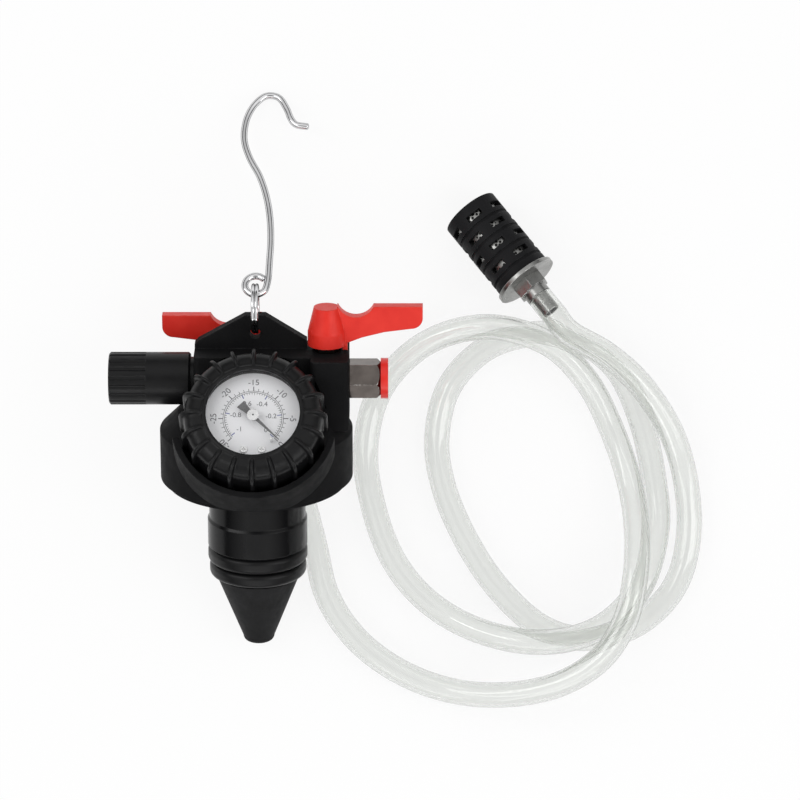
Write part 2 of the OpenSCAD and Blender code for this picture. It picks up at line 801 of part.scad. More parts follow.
module movement_frame() {
  plate_r = 9;
  color(brass) gauge_frame() difference() {
    union() {
      translate([0, 0, movement_z]) cylinder(r = plate_r, h = movement_t);
      translate([-3, -3, stem_inner_z]) cube([6, 6, movement_z - stem_inner_z + overlap]);
      for (x = [-screw_x, screw_x])
        translate([x, -screw_drop, movement_z]) cylinder(r = 1.8, h = -movement_z - dial_t);
      translate([-screw_x - 1.8, -screw_drop, movement_z])
        cube([2 * screw_x + 3.6, screw_drop - 6, movement_t]);
    }
    translate([0, 0, stem_inner_z]) cylinder(r = spindle_r + run_gap, h = 9);
    for (x = [-screw_x, screw_x])
      translate([x, -screw_drop, movement_z - 1]) cylinder(r = screw_r + seat_gap, h = 9);
  }
}

module dial_screws() {
  color(chrome) gauge_frame() for (x = [-screw_x, screw_x])
    translate([x, -screw_drop, 0]) difference() {
      union() {
        translate([0, 0, movement_z]) cylinder(r = screw_r, h = overlap - movement_z);
        cylinder(r1 = screw_head_r, r2 = screw_head_r - 0.5, h = 0.9);
      }
      for (turn = [0, 90])
        rotate([0, 0, turn]) translate([-1, -0.2, 0.4]) cube([2, 0.4, 1]);
    }
}

module zero_stop() {
  color(chrome) gauge_frame() rotate([0, 0, stop_angle]) translate([stop_r, 0, 0])
    cylinder(r = 0.6, h = needle_z + 1);
}

module needle() {
  tail = 8.6;
  color("#333333") gauge_frame() rotate([0, 0, needle_rest]) translate([0, 0, needle_z]) difference() {
    union() {
      linear_extrude(needle_t) {
        polygon([
          [-tail, -2.3], [-tail, 2.3], [0, needle_half_w], [needle_len, 0.15], [needle_len, -0.15],
          [0, -needle_half_w]
        ]);
        circle(needle_hub_r);
      }
      cylinder(r = needle_hub_r, h = needle_hub_h);
    }
    translate([0, 0, -1]) cylinder(r = spindle_r + seat_gap, h = 3);
  }
}

module needle_spindle() {
  foot = stem_inner_z + 0.3;
  head_z = needle_z + needle_hub_h + seat_gap;
  color(chrome) gauge_frame() {
    translate([0, 0, foot]) cylinder(r = spindle_r, h = head_z + spindle_head_h - foot);
    translate([0, 0, head_z]) cylinder(r = spindle_head_r, h = spindle_head_h);
  }
}

// Valves

module air_lever() color(red) air_valve() valve_lever();

module air_valve_stem() color(nickel) air_valve() valve_stem();

module air_valve_ball() color(chrome) air_valve() valve_ball();

module air_valve_seats() color("white") air_valve() valve_seats();

module air_gland_nut() color(nickel) air_valve() valve_gland();

module coolant_lever() color(red) coolant_valve() valve_lever();

module coolant_valve_stem() color(nickel) coolant_valve() valve_stem();

module coolant_valve_ball() color(chrome) coolant_valve() valve_ball();

module coolant_valve_seats() color("white") coolant_valve() rotate([0, 0, 90]) valve_seats();

module coolant_gland_nut() color(nickel) coolant_valve() valve_gland();

module coolant_valve_plug() {
  plug_y = coolant_y + seat_out + 0.1;
  plug_len = barrel_reach - plug_y;
  color(black) difference() {
    lying() translate([0, plug_y, coolant_z]) along_y() difference() {
      cylinder(d = pocket_d - 2 * seat_gap, h = plug_len);
      translate([0, 0, plug_len - 3]) cylinder(d = 8, h = 4, $fn = 6);
    }
    below_table();
  }
}

module stem_seals() {
  color(rubber) {
    air_valve() valve_seal();
    coolant_valve() valve_seal();
  }
}

// Air passage

module venturi_nozzle() {
  nozzle_len = 16;
  color(brass) lying() translate([air_x - pocket_end - nozzle_len - 1, 0, air_z]) along_x() difference() {
    cylinder(r = passage_r - seat_gap, h = nozzle_len);
    translate([0, 0, 3]) cylinder(r1 = 1.2, r2 = ball_bore_d / 2, h = nozzle_len - 2.9);
    translate([0, 0, -1]) cylinder(r = 1.2, h = 5);
  }
}

module silencer_frame() lying() translate([-block_left, 0, air_z]) rotate([0, -90, 0]) children();

module silencer_body() {
  body_z = silencer_neck_len;
  end_z = body_z + silencer_len;
  bore = silencer_r - silencer_wall;
  color(black) silencer_frame() difference() {
    union() {
      translate([0, 0, -silencer_spigot_len])
        cylinder(r = silencer_spigot_r - seat_gap, h = silencer_spigot_len + overlap);
      cylinder(r = silencer_neck_r, h = body_z + overlap);
      translate([0, 0, body_z]) rotate_extrude() polygon([
        [0, 0], [silencer_r - 0.8, 0], [silencer_r, 0.8], [silencer_r, silencer_len - 0.8],
        [silencer_r - 0.8, silencer_len], [0, silencer_len]
      ]);
    }
    translate([0, 0, -silencer_spigot_len - 1]) cylinder(r = passage_r, h = end_z);
    translate([0, 0, body_z + 4]) cylinder(r = bore, h = silencer_len);
    for (i = [0:silencer_flutes - 1])
      rotate([0, 0, 360 * (i + 0.5) / silencer_flutes])
        translate([silencer_r + 0.7, 0, end_z - flute_len])
          cylinder(r = 1.4, h = flute_len + 1, $fn = 24);
  }
}

module silencer_insert() {
  bore = silencer_r - silencer_wall;
  color("#8c8c88") silencer_frame() translate([0, 0, silencer_neck_len + 4]) difference() {
    cylinder(r = bore - seat_gap, h = silencer_len - 5.5);
    translate([0, 0, -1]) cylinder(r = passage_r, h = silencer_len - 12);
  }
}

module inlet_fitting() {
  spigot = block_right - air_x - seat_out - 0.1;
  corner_r = inlet_flats / 2 / cos(30);
  color(nickel) lying() translate([block_right, 0, air_z]) along_x() difference() {
    union() {
      translate([0, 0, -spigot]) cylinder(d = pocket_d - 2 * seat_gap, h = spigot + overlap);
      intersection() {
        rotate([0, 0, 30]) hexagon(inlet_flats, inlet_len);
        union() {
          cylinder(r = corner_r, h = inlet_len - 1.8);
          translate([0, 0, inlet_len - 1.8]) cylinder(r1 = corner_r, r2 = corner_r - 1.8, h = 1.8);
        }
      }
    }
    translate([0, 0, -spigot - 1]) cylinder(d = inlet_bore_d, h = inlet_len + spigot + 2);
    translate([0, 0, inlet_len - cap_seat_depth]) cylinder(d = cap_seat_d, h = cap_seat_depth + 1);
  }
}

module inlet_cap() {
  color(red) lying() translate([block_right + inlet_len, 0, air_z]) along_x() difference() {
    union() {
      cylinder(r = cap_r, h = cap_t);
      translate([0, 0, -cap_stub_len]) cylinder(d = cap_seat_d - 2 * run_gap, h = cap_stub_len + overlap);
    }
    translate([0, 0, -cap_stub_len - 1]) cylinder(d = cap_seat_d - 2 * cap_stub_wall, h = cap_stub_len + 1);
    translate([0, 0, cap_t]) rotate_extrude() translate([cap_r * 0.62, 0]) circle(1.1, $fn = 24);
  }
}

// Ring and hook

module split_ring() {
  color(chrome) translate(ring_world) rotate([0, 90, 0]) rotate_extrude()
    for (side = [-1, 1])
      translate([ring_r, side * ring_wire_d * 0.46]) circle(d = ring_wire_d, $fn = 24);
}

module hook() {
  plane = concat(eye_turn, hook_path);
  path = [for (p = plane) [p[0], p[1] + eye_out, 0]];
  color(chrome) ring_frame() rod(curve(path, 96), hook_wire_d / 2, 10, [0, 0, 1]);
}

// Hose and strainer

module hose_barb() {
  color(brass) barb_frame() difference() {
    union() {
      translate([0, 0, -barb_collar - barb_len / 2]) cylinder(r = nipple_r, h = barb_collar + barb_len * 1.5);
      translate([0, 0, -barb_collar]) cylinder(r = hose_r, h = barb_collar);
    }
    translate([0, 0, -barb_len]) cylinder(r = nipple_r - 1.2, h = 3 * barb_len);
  }
}

module hose() {
  color("#e8eef0", 0.6) on_table()
    pipe(hose_line, hose_r, hose_bore_d / 2, hose_sides, [0, 0, 1]);
}

module strainer_fitting() {
  foot = cage_len + flange_t;
  color(chrome) strainer_frame() translate([0, 0, foot]) difference() {
    union() {
      hexagon(fitting_flats, fitting_len * 0.6);
      cylinder(r = hose_r, h = fitting_len);
      cylinder(r = nipple_r, h = fitting_len + nipple_len);
      translate([0, 0, -flange_t - 3]) cylinder(r = nipple_r, h = flange_t + 3 + overlap);
    }
    translate([0, 0, -flange_t - 4]) cylinder(r = nipple_r - 1.2, h = fitting_len + nipple_len + 9);
  }
}

module strainer_flange() {
  color(chrome) strainer_frame() translate([0, 0, cage_len]) tube(flange_r, nipple_r + seat_gap, flange_t);
}

module strainer_cage() {
  cap_t_end = 3;
  pitch = (cage_len - cap_t_end - 4) / slot_rows;
  slot_w = 2 * PI * cage_r / slot_count * 0.55;
  color(black) strainer_frame() difference() {
    cylinder(r = cage_r, h = cage_len);
    translate([0, 0, cap_t_end]) cylinder(r = cage_r - cage_wall, h = cage_len);
    for (row = [0:slot_rows - 1])
      for (i = [0:slot_count - 1])
        rotate([0, 0, 360 * (i + 0.5 * (row % 2)) / slot_count])
          translate([0, -slot_w / 2, cap_t_end + 2 + row * pitch])
            cube([2 * cage_r, slot_w, pitch * 0.34]);
    for (row = [0:slot_rows - 1])
      translate([0, 0, cap_t_end + 2 + (row + 0.6) * pitch])
        tube(cage_r + 1, cage_r - 0.8, groove_w);
  }
}

module strainer_mesh() {
  color(chrome) strainer_frame() translate([0, 0, 3.1])
    tube(cage_r - cage_wall - 0.1, cage_r - cage_wall - 0.1 - mesh_wall, cage_len - 3.2);
}

body_housing();
neck_sleeve();
neck_seal();
cone_stem();
rubber_cone();
gauge_case();
gauge_boot();
gauge_dial();
gauge_lens();
gauge_stem();
bourdon_tube();
movement_frame();
dial_screws();
zero_stop();
needle();
needle_spindle();
air_lever();
air_valve_stem();
air_valve_ball();
air_valve_seats();
air_gland_nut();
coolant_lever();
coolant_valve_stem();
coolant_valve_ball();
coolant_valve_seats();
coolant_gland_nut();
coolant_valve_plug();
stem_seals();
venturi_nozzle();
silencer_body();
silencer_insert();
inlet_fitting();
inlet_cap();
split_ring();
hook();
hose_barb();
hose();
strainer_fitting();
strainer_flange();
strainer_cage();
strainer_mesh();
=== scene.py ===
"""Looks of the coolant refill tool: materials, camera, hose, wire pieces, boot, dial print and light."""

import json
import math

import bmesh
import bpy
from mathutils import Matrix, Vector


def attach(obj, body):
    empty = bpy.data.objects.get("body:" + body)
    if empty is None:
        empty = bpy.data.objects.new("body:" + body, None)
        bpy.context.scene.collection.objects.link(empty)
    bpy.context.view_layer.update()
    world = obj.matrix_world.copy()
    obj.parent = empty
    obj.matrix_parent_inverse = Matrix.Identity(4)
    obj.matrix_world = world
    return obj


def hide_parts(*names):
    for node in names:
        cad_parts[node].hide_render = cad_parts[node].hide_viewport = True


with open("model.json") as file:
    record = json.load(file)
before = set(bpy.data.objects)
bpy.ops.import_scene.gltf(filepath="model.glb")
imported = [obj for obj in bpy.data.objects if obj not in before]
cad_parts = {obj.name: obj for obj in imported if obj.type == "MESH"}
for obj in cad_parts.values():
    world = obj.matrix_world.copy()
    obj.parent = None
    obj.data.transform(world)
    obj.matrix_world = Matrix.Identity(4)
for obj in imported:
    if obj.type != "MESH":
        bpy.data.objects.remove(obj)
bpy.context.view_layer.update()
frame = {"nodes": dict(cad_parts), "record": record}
NODES = frame["nodes"]
MM = 0.001
ACROSS = Vector((1, 0, 0))
ALONG = Vector((0, 1, 0))
UP = Vector((0, 0, 1))

# Places of the tool in the shared frame, in millimetres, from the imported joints

JOINTS = {joint["name"]: joint for joint in frame["record"]["behaviour"]["joints"]}


def joint_frame(name, place):
    """Frame at the place of one joint, with z along the axis of the named joint and x across the tool."""
    axis = Vector(JOINTS[name]["axis"])
    slope = math.atan2(-axis.y, axis.z)
    return Matrix.Translation(Vector(JOINTS[place]["pos_m"]) / MM) @ Matrix.Rotation(slope, 4, "X")


GAUGE = joint_frame("needle_sweep", "needle_sweep")
HOOK_FRAME = joint_frame("hook_swing", "ring_turn")
RING_WORLD = HOOK_FRAME.translation
SIN_LEAN = -JOINTS["air_lever_turn"]["axis"][2]

# Distance along the table from the tool's own origin to the frame's, as in part.scad

BACK_REACH = 42
FLAT_MID = 7
FLAT_Y = BACK_REACH * SIN_LEAN + FLAT_MID

# Hose and strainer, as in part.scad. Each point of the hose's path is across, along and lift.

HOSE_R = 6.35
HOSE_BORE_R = 4.75
HOSE_CLEAR = 0.4
HOSE_LIE = HOSE_R + HOSE_CLEAR
HOSE_SIDES = 40
HOSE_STEPS = 8
BARB_START = (16, 7.4)
HOSE_PATH = [
    (27, -34, 0), (34, -62, 0), (49, -84, 0), (71, -100, 0.4), (97, -109, 4.4), (124, -110, 13.4),
    (149, -104, 23.4), (169, -91, 27.6), (181, -72, 28), (186, -50, 25.6), (187, -28, 17.6), (184, -5, 6.6),
    (176, 20, 1), (163, 45, 5.6), (143, 64, 13.4), (113, 72, 14.2), (83, 64, 4.4), (61, 42, 0.1),
    (53, 12, 0), (57, -18, 0), (68, -46, 0.1), (87, -67, 1), (113, -80, 7.6), (142, -84, 14), (169, -77, 14),
    (189, -57, 12), (198, -28, 3.6), (196, 0, 0.2), (190, 26, 0), (179, 50, 0), (162, 64, 0), (140, 69, 0),
    (114, 62, 0), (95, 43, 0), (88.5, 17, 0), (92, -8, 0), (103, -34, 0), (119, -58, 0), (140, -77, 0),
    (162, -83, 0), (188, -76, 0), (207, -57, 0), (214, -31, 0.2), (212, -3, 2), (204, 21, 9.6),
    (189, 43, 19.6), (172, 58, 26.4),
]
STRAINER_LEAN = math.radians(16)
STRAINER_FOOT = (105.2, 128.8)
STRAINER_AIM = (0.6249, -0.7807)
CAGE_R = 14.5
CAGE_LEN = 44
FLANGE_T = 2
FITTING_LEN = 10
NIPPLE_LEN = 10
NIPPLE_SPARE = 2
NIPPLE_LEAD = NIPPLE_LEN + NIPPLE_SPARE
HOSE_STOP = CAGE_LEN + FLANGE_T + FITTING_LEN

# Split ring: two turns, side by side but for one crossing, whose start and span are in turns.
# RING_CLOSE leaves each turn a little short, and RING_LAY presses the turns together.

RING_R = 11.25
RING_WIRE_R = 0.9
RING_SIDES = 14
RING_NOSE = 2
RING_TURNS = 2
RING_TURN_STEPS = 96
RING_START = 200
RING_CLOSE = 0.985
RING_LAY = 0.94
CROSSING_START = 0.92
CROSSING_SPAN = 0.16

# Hook, as in part.scad. Each point of its path is across and along from the middle of its eye.

EYE_OUT = 13.15
EYE_MID = 5.25
EYE_ANGLES = range(46, 337, 29)
HOOK_WIRE_R = 1.65
HOOK_SIDES = 20
HOOK_STEPS = 6
HOOK_NOSE = 3
HOOK_PATH = [
    (6, 4), (6.5, 14.5), (6.9, 25), (6.4, 37.5), (4.6, 50), (1, 62.5), (-4.4, 74), (-7.2, 84.5), (-6.6, 95),
    (-3.6, 103.5), (1, 109.3), (5.2, 111), (10, 109.3), (13.6, 103), (15.8, 97), (18.6, 93.5), (24, 92.5),
]

# Rounded end of a wire: its length in radii, and how far its last ring stops short of a point

NOSE_REACH = 0.5
NOSE_OPEN = 0.4


def spline(points, steps):
    """Catmull-Rom curve through the points, with so many steps to each stretch."""
    out = []
    last = len(points) - 1
    for i in range(last):
        a, b = points[max(i - 1, 0)], points[i]
        c, d = points[i + 1], points[min(i + 2, last)]
        for k in range(steps):
            t = k / steps
            out.append(
                0.5
                * (
                    2 * b
                    + (c - a) * t
                    + (2 * a - 5 * b + 4 * c - d) * t * t
                    + (3 * b - a - 3 * c + d) * t * t * t
                )
            )
    out.append(points[last])
    return out


def new_object(name, data):
    """Object with this data, in the scene."""
    obj = bpy.data.objects.new(name, data)
    bpy.context.scene.collection.objects.link(obj)
    return obj


def new_piece(name, verts, faces, smooth=True):
    """Mesh object of these points and faces."""
    mesh = bpy.data.meshes.new(name)
    mesh.from_pydata([tuple(v) for v in verts], [], faces)
    mesh.update()
    for polygon in mesh.polygons:
        polygon.use_smooth = smooth
    return new_object(name, mesh)


def ring_points(path, radii, sides, up):
    """Points of a ring across the path at each of its points."""
    verts = []
    last = len(path) - 1
    for i, p in enumerate(path):
        t = (path[min(i + 1, last)] - path[max(i - 1, 0)]).normalized()
        across = t.cross(up).normalized()
        over = across.cross(t)
        for k in range(sides):
            a = 2 * math.pi * k / sides
            verts.append(p + radii[i] * (math.cos(a) * across + math.sin(a) * over))
    return verts


def skin(count, sides, first, flip):
    """Faces between so many rings of points, the first of which starts at this index."""
    faces = []
    for i in range(count - 1):
        for k in range(sides):
            a = first + i * sides + k
            b = first + i * sides + (k + 1) % sides
            quad = (a, a + sides, b + sides, b)
            faces.append(quad[::-1] if flip else quad)
    return faces


def rod(name, path, radius, sides, up, nose):
    """Solid wire with rounded ends: nose is how many rings shape each end."""
    line = list(path)
    radii = [radius] * len(line)
    head = (line[0] - line[1]).normalized()
    tail = (line[-1] - line[-2]).normalized()
    for k in range(1, nose + 1):
        a = math.pi / 2 * k / (nose + NOSE_OPEN)
        line = [path[0] + head * radius * NOSE_REACH * math.sin(a)] + line
        line.append(path[-1] + tail * radius * NOSE_REACH * math.sin(a))
        radii = [radius * math.cos(a)] + radii + [radius * math.cos(a)]
    verts = ring_points(line, radii, sides, up)
    faces = skin(len(line), sides, 0, False)
    faces.append(tuple(range(sides)))
    end = (len(line) - 1) * sides
    faces.append(tuple(end + k for k in reversed(range(sides))))
    return new_piece(name, verts, faces)


def pipe(name, path, radius, bore, sides, up):
    """Tube with an open bore of this radius and flat ends."""
    count = len(path)
    verts = ring_points(path, [radius] * count, sides, up) + ring_points(path, [bore] * count, sides, up)
    inner = count * sides
    end = (count - 1) * sides
    faces = skin(count, sides, 0, False) + skin(count, sides, inner, True)
    for k in range(sides):
        n = (k + 1) % sides
        faces.append((k, n, inner + n, inner + k))
        faces.append((end + n, end + k, inner + end + k, inner + end + n))
    return new_piece(name, verts, faces)


# Materials. The mix node's colour sockets share their names, so they are called by their number.

MIX_FACTOR = 0
MIX_A = 6
MIX_B = 7
MIX_RESULT = 2
NOISE_RANGE = (0.3, 0.7)
NOISE_DETAIL = 3.0
GRAIN_DETAIL = 2.0
GLOSS_FINER = 3.1
BEVEL_SAMPLES = 6
EDGE_RANGE = (0.99, 0.86)
WEAR_SCALE = 260
WEAR_RANGE = (0.4, 0.65)


def link(tree, out_socket, in_socket):
    """Link from one node to another."""
    tree.links.new(out_socket, in_socket)


def node_of(tree, kind, **values):
    """New node with these settings."""
    n = tree.nodes.new(kind)
    for key, value in values.items():
        setattr(n, key, value)
    return n


def noise(tree, coords, scale, detail=NOISE_DETAIL):
    """Noise with so many cells to the metre."""
    n = node_of(tree, "ShaderNodeTexNoise")
    n.inputs["Scale"].default_value = scale
    n.inputs["Detail"].default_value = detail
    link(tree, coords, n.inputs["Vector"])
    return n.outputs["Fac"]


def spread(tree, value, low, high, to_low, to_high):
    """The value's range from low to high, spread over another range."""
    n = node_of(tree, "ShaderNodeMapRange")
    for key, number in zip(("From Min", "From Max", "To Min", "To Max"), (low, high, to_low, to_high)):
        n.inputs[key].default_value = number
    link(tree, value, n.inputs["Value"])
    return n.outputs["Result"]


def combine(tree, operation, a, b):
    """One step of arithmetic on two terms, each a socket or a number."""
    n = node_of(tree, "ShaderNodeMath", operation=operation)
    for socket, term in zip(n.inputs, (a, b)):
        if isinstance(term, float):
            socket.default_value = term
        else:
            link(tree, term, socket)
    return n.outputs[0]


def blend(tree, factor, a, b):
    """Mix of two colours, each a socket or a plain colour."""
    n = node_of(tree, "ShaderNodeMix", data_type="RGBA")
    link(tree, factor, n.inputs[MIX_FACTOR])
    for number, colour in ((MIX_A, a), (MIX_B, b)):
        if isinstance(colour, tuple):
            n.inputs[number].default_value = (*colour, 1)
        else:
            link(tree, colour, n.inputs[number])
    return n.outputs[MIX_RESULT]


def worn(tree, coords, soft, colour, wear):
    """The colour with uneven wear where the softened normal leaves the face's own, at the edges."""
    dot = node_of(tree, "ShaderNodeVectorMath", operation="DOT_PRODUCT")
    link(tree, soft, dot.inputs[0])
    link(tree, node_of(tree, "ShaderNodeNewGeometry").outputs["Normal"], dot.inputs[1])
    edges = spread(tree, dot.outputs["Value"], *EDGE_RANGE, 0.0, 1.0)
    patches = spread(tree, noise(tree, coords, WEAR_SCALE), *WEAR_RANGE, 0.0, 1.0)
    return blend(tree, combine(tree, "MULTIPLY", edges, patches), colour, wear)


def material(name, dark, light, mottle, rough, grain, edge=0.0, wear=None, **sockets):
    """Procedural surface: mottled colour, uneven gloss, fine grain, soft worn edges.

    mottle is the scale of its patches, rough the range of its roughness, grain the grain's scale, strength
    and depth in mm, edge the radius of its edges in mm, and wear their colour.
    """
    mat = bpy.data.materials.new(name)
    mat.use_nodes = True
    tree = mat.node_tree
    shader = tree.nodes["Principled BSDF"]
    coords = node_of(tree, "ShaderNodeTexCoord").outputs["Object"]
    colour = blend(tree, spread(tree, noise(tree, coords, mottle), *NOISE_RANGE, 0.0, 1.0), dark, light)
    gloss = spread(tree, noise(tree, coords, mottle * GLOSS_FINER), *NOISE_RANGE, *rough)
    shader.inputs["Roughness"].default_value = rough[0]
    link(tree, gloss, shader.inputs["Roughness"])
    grain_scale, strength, depth = grain
    bump = node_of(tree, "ShaderNodeBump")
    bump.inputs["Strength"].default_value = strength
    bump.inputs["Distance"].default_value = depth * MM
    link(tree, noise(tree, coords, grain_scale, GRAIN_DETAIL), bump.inputs["Height"])
    link(tree, bump.outputs["Normal"], shader.inputs["Normal"])
    if edge:
        soft = node_of(tree, "ShaderNodeBevel", samples=BEVEL_SAMPLES)
        soft.inputs["Radius"].default_value = edge * MM
        link(tree, soft.outputs["Normal"], bump.inputs["Normal"])
        if wear:
            colour = worn(tree, coords, soft.outputs["Normal"], colour, wear)
    link(tree, colour, shader.inputs["Base Color"])
    for key, value in sockets.items():
        shader.inputs[key.replace("_", " ")].default_value = value
    return mat


HOUSING = material(
    "moulded_black", (0.008, 0.008, 0.0085), (0.012, 0.012, 0.0125), 60, (0.56, 0.70), (1900, 0.5, 0.16),
    edge=0.7, wear=(0.03, 0.03, 0.031), Specular_IOR_Level=0.05,
)
SLEEVE = material(
    "turned_black", (0.0045, 0.0045, 0.005), (0.007, 0.007, 0.0075), 40, (0.16, 0.24), (900, 0.12, 0.05),
    edge=0.5, wear=(0.05, 0.05, 0.05), Specular_IOR_Level=0.18,
)
SILENCER = material(
    "silencer_black", (0.005, 0.005, 0.0055), (0.008, 0.008, 0.0085), 50, (0.30, 0.40), (1400, 0.25, 0.08),
    edge=0.5, wear=(0.05, 0.05, 0.05), Specular_IOR_Level=0.20,
)
CAGE = material(
    "cage_black", (0.006, 0.006, 0.007), (0.010, 0.010, 0.011), 80, (0.50, 0.62), (1700, 0.4, 0.14),
    edge=0.5, wear=(0.03, 0.03, 0.031), Specular_IOR_Level=0.14,
)
BOOT = material(
    "boot_rubber", (0.0045, 0.0045, 0.005), (0.007, 0.007, 0.0075), 90, (0.28, 0.40), (700, 0.25, 0.10),
    edge=0.8, wear=(0.03, 0.03, 0.03), Specular_IOR_Level=0.22,
)
CONE = material(
    "cone_rubber", (0.009, 0.009, 0.0095), (0.014, 0.014, 0.015), 120, (0.55, 0.68), (1500, 0.35, 0.14),
    edge=0.8, wear=(0.03, 0.03, 0.03), Specular_IOR_Level=0.16,
)
RED = material(
    "lever_red", (0.74, 0.024, 0.015), (0.82, 0.036, 0.023), 110, (0.34, 0.44), (1600, 0.3, 0.12),
    edge=0.8, wear=(0.86, 0.12, 0.09), Specular_IOR_Level=0.25,
)
CAP_RED = material(
    "cap_red", (0.74, 0.020, 0.014), (0.84, 0.032, 0.022), 150, (0.28, 0.36), (1200, 0.15, 0.06),
    edge=0.4, wear=(0.86, 0.12, 0.10), Specular_IOR_Level=0.4,
)
NICKEL = material(
    "nickel_plate", (0.11, 0.095, 0.087), (0.17, 0.148, 0.135), 160, (0.09, 0.17), (1300, 0.12, 0.05),
    edge=0.5, wear=(0.75, 0.74, 0.72), Metallic=1.0,
)
CHROME = material(
    "chrome_wire", (0.70, 0.70, 0.71), (0.80, 0.80, 0.81), 120, (0.05, 0.11), (600, 0.05, 0.03),
    Metallic=1.0, Specular_Tint=(0.1, 0.1, 0.1, 1),
)
STEEL = material(
    "turned_steel", (0.26, 0.26, 0.252), (0.36, 0.36, 0.35), 200, (0.26, 0.36), (2200, 0.15, 0.05),
    edge=0.4, wear=(0.85, 0.85, 0.85), Metallic=1.0,
)
SCREW = material(
    "screw_zinc", (0.74, 0.74, 0.74), (0.86, 0.86, 0.86), 300, (0.22, 0.32), (2000, 0.15, 0.04),
    edge=0.2, Metallic=1.0,
)
BRASS = material(
    "turned_brass", (0.52, 0.36, 0.13), (0.62, 0.45, 0.18), 120, (0.24, 0.34), (1200, 0.15, 0.05),
    edge=0.3, Metallic=1.0,
)
WHITE = material("seal_white", (0.78, 0.78, 0.76), (0.85, 0.85, 0.83), 120, (0.35, 0.45), (900, 0.1, 0.05))
DIAL = material("dial_enamel", (0.90, 0.90, 0.92), (0.93, 0.93, 0.95), 70, (0.42, 0.5), (2400, 0.06, 0.03))
POROUS = material(
    "porous_filter", (0.22, 0.22, 0.21), (0.42, 0.42, 0.40), 1200, (0.8, 0.95), (1600, 0.8, 0.3)
)
INK = material("scale_ink", (0.035, 0.035, 0.04), (0.05, 0.05, 0.055), 400, (0.5, 0.6), (2000, 0.1, 0.02))
PALE_INK = material("number_ink", (0.12, 0.12, 0.13), (0.15, 0.15, 0.16), 400, (0.5, 0.6), (2000, 0.1, 0.02))
BLUE_INK = material("scale_blue", (0.05, 0.08, 0.30), (0.07, 0.10, 0.36), 400, (0.5, 0.6), (2000, 0.1, 0.02))
NEEDLE = material(
    "needle_paint", (0.07, 0.07, 0.072), (0.10, 0.10, 0.105), 300, (0.35, 0.45), (1500, 0.1, 0.03)
)

# Punched sheet of the strainer, its holes painted dark as painted shade: holes to the metre, how unevenly
# they lie, and the edge of one in cells

HOLE_SCALE = 520
HOLE_JITTER = 0.15
HOLE_EDGE = (0.38, 0.46)


def perforated(name, bright, dark):
    """Punched sheet whose round holes are painted dark: painted shade where the openings would show the
    shaded inside.
    """
    mat = material(name, bright, bright, 200, (0.25, 0.35), (2000, 0.1, 0.04), Metallic=1.0)
    tree = mat.node_tree
    holes = node_of(tree, "ShaderNodeTexVoronoi")
    holes.inputs["Scale"].default_value = HOLE_SCALE
    holes.inputs["Randomness"].default_value = HOLE_JITTER
    link(tree, node_of(tree, "ShaderNodeTexCoord").outputs["Object"], holes.inputs["Vector"])
    # The holes take the dark colour: painted shade standing in for the shade seen through them
    hole_shade_share = spread(tree, holes.outputs["Distance"], *HOLE_EDGE, 1.0, 0.0)
    link(tree, blend(tree, hole_shade_share, bright, dark), tree.nodes["Principled BSDF"].inputs["Base Color"])
    return mat


# Strainer mesh, its holes painted near black as painted shade
MESH = perforated("punched_steel", (0.30, 0.30, 0.29), (0.015, 0.015, 0.015))

# Clear plastic of the hose: its wall dims what is seen along it

WALL_TINT = (0.74, 0.755, 0.735, 1)
WALL_DENSITY = 150


def clear_plastic(name, tint, clear, rough, ior, grain):
    """Soft clear plastic with a tinted wall."""
    mat = material(name, tint, tint, 90, rough, grain)
    tree = mat.node_tree
    shader = tree.nodes["Principled BSDF"]
    shader.inputs["Transmission Weight"].default_value = clear
    shader.inputs["IOR"].default_value = ior
    wall = node_of(tree, "ShaderNodeVolumeAbsorption")
    wall.inputs["Color"].default_value = WALL_TINT
    wall.inputs["Density"].default_value = WALL_DENSITY
    link(tree, wall.outputs[0], tree.nodes["Material Output"].inputs["Volume"])
    return mat


LENS = material(
    "lens_clear", (0.96, 0.97, 0.98), (1, 1, 1), 40, (0.02, 0.04), (300, 0.01, 0.01),
    Alpha=0.03, Metallic=1.0,
)
PVC = clear_plastic(
    "hose_clear", (0.985, 0.99, 0.98), clear=0.97, rough=(0.0, 0.012), ior=1.42, grain=(260, 0.01, 0.01)
)


def dress(mat, *names):
    """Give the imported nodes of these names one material."""
    for name in names:
        mesh = NODES[name].data
        mesh.materials.clear()
        mesh.materials.append(mat)


dress(HOUSING, "body_housing", "coolant_valve_plug")
dress(SLEEVE, "neck_sleeve")
dress(SILENCER, "silencer_body", "gauge_case")
dress(CAGE, "strainer_cage")
dress(MESH, "strainer_mesh")
dress(SCREW, "dial_screws", "needle_spindle", "zero_stop")
dress(BOOT, "neck_seal", "stem_seals")
dress(CONE, "rubber_cone")
dress(RED, "air_lever", "coolant_lever")
dress(CAP_RED, "inlet_cap")
dress(NICKEL, "inlet_fitting", "air_gland_nut", "coolant_gland_nut", "air_valve_stem", "coolant_valve_stem")
dress(STEEL, "strainer_fitting", "strainer_flange", "air_valve_ball", "coolant_valve_ball")
dress(BRASS, "hose_barb", "gauge_stem", "bourdon_tube", "movement_frame", "cone_stem", "venturi_nozzle")
dress(WHITE, "air_valve_seats", "coolant_valve_seats")
dress(DIAL, "gauge_dial")
dress(POROUS, "silencer_insert")
dress(NEEDLE, "needle")
dress(LENS, "gauge_lens")


# Camera straight above the table, as in the photograph: its place beside the tool's axis, in millimetres

CAMERA_AT = (70.1, 35.8, 2000)
CAMERA_LENS = 180
CAMERA_SENSOR = 36
CAMERA_FAR = 20
camera_data = bpy.data.cameras.new("camera")
camera_data.lens = CAMERA_LENS
camera_data.sensor_width = CAMERA_SENSOR
camera_data.clip_end = CAMERA_FAR
camera = new_object("camera", camera_data)
camera.location = (CAMERA_AT[0] * MM, (CAMERA_AT[1] - FLAT_Y) * MM, CAMERA_AT[2] * MM)
bpy.context.scene.camera = camera


